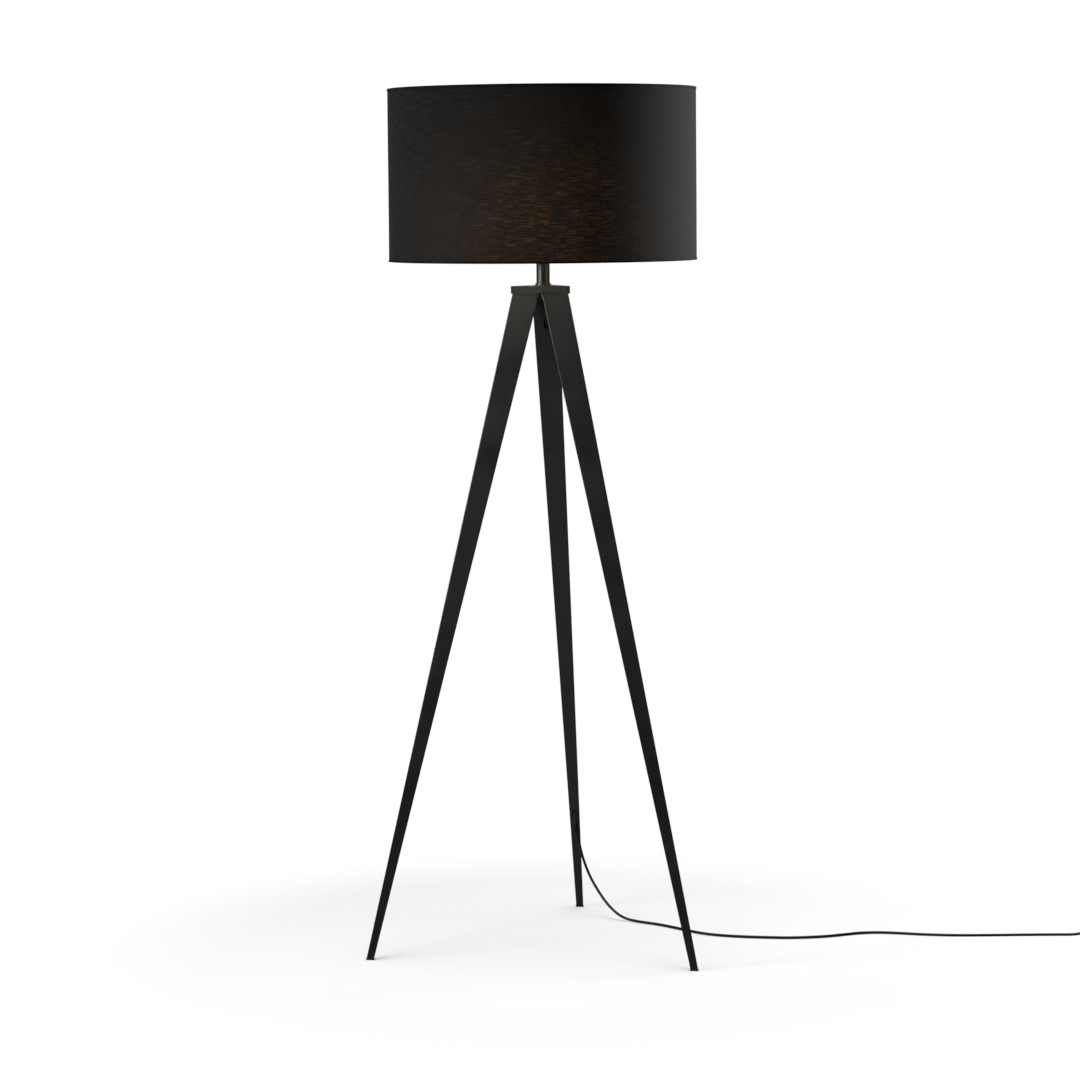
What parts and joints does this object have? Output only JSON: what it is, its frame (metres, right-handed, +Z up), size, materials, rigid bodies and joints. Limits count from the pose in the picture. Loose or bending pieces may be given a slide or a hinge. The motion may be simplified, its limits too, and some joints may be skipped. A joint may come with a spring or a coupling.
{
  "type": "tripod floor lamp",
  "caption": "Tripod floor lamp: black fabric drum shade on a short column and triangular head plate over tapered triangular-section legs, with mains cord, foot switch and flat plug.",
  "frame": {"origin": "on the floor, under the middle of the lamp's bounding box without its cord", "axes": "+Z up, +Y towards the back leg, the cord leaves along +X"},
  "size_m": [1.4239, 0.6188, 1.5424],
  "materials": {
    "black_paint": "satin black powder coat",
    "black_steel": "black oxide",
    "steel": "zinc plated",
    "brass": "plain",
    "nickel": "nickel plated",
    "frame_wire": "white epoxy coated wire",
    "shade_fabric": "woven slub cotton, matt",
    "shade_binding": "rolled edge tape, matt",
    "shade_lining": "satin laminate",
    "holder_plastic": "moulded, semi-gloss",
    "ceramic": "matt",
    "opal": "opal, translucent",
    "bulb_housing": "moulded, semi-gloss",
    "foot_rubber": "matt",
    "cord_sheath": "satin PVC",
    "switch_plastic": "fine moulded texture"
  },
  "bodies": {
    "lamp": {"leg_back": "black_paint", "leg_left": "black_paint", "leg_right": "black_paint", "leg_insert_back": "steel", "leg_insert_left": "steel", "leg_insert_right": "steel", "leg_screw_back": "black_steel", "leg_screw_left": "black_steel", "leg_screw_right": "black_steel", "foot_pad_back": "foot_rubber", "foot_pad_left": "foot_rubber", "foot_pad_right": "foot_rubber", "head_plate": "black_paint", "column_tube": "black_paint", "column_collar": "black_paint", "column_bush": "steel", "threaded_pipe": "steel", "head_washer": "steel", "head_nut": "steel", "holder_cap": "holder_plastic", "holder_skirt": "holder_plastic", "holder_core": "ceramic", "holder_thread_sleeve": "brass", "holder_centre_contact": "brass", "shade_ring_lower": "holder_plastic", "shade_ring_upper": "holder_plastic", "bulb_globe": "opal", "bulb_body": "bulb_housing", "bulb_led_board": "bulb_housing", "bulb_screw_cap": "nickel", "bulb_tip": "holder_plastic", "shade_fabric": "shade_fabric", "shade_liner": "shade_lining", "shade_binding_top": "shade_binding", "shade_binding_bottom": "shade_binding", "shade_wire_top": "frame_wire", "shade_wire_bottom": "frame_wire", "shade_spider": "frame_wire", "cord_inside": "cord_sheath", "cord_grommet": "foot_rubber", "cord_sleeve": "foot_rubber", "cord_to_switch": "cord_sheath", "cord_to_coil": "cord_sheath", "cord_coil": "cord_sheath", "cord_tie": "foot_rubber", "cord_to_plug": "cord_sheath", "switch_base": "switch_plastic", "switch_cover": "switch_plastic", "switch_spring": "steel", "switch_contact_block": "ceramic", "switch_boot_in": "foot_rubber", "switch_boot_out": "foot_rubber", "plug_body": "switch_plastic", "plug_boot": "foot_rubber", "plug_pin_front": "nickel", "plug_pin_back": "nickel"},
    "button": {"switch_button": "switch_plastic"}
  },
  "joints": [
    {"name": "switch_press", "type": "slide", "parent": "lamp", "child": "button", "axis": [0, 0, -1], "range_m": [0, 0.003], "stiffness_N_per_m": 1200, "springref_m": -0.001, "deforming": ["switch_spring"]}
  ]
}
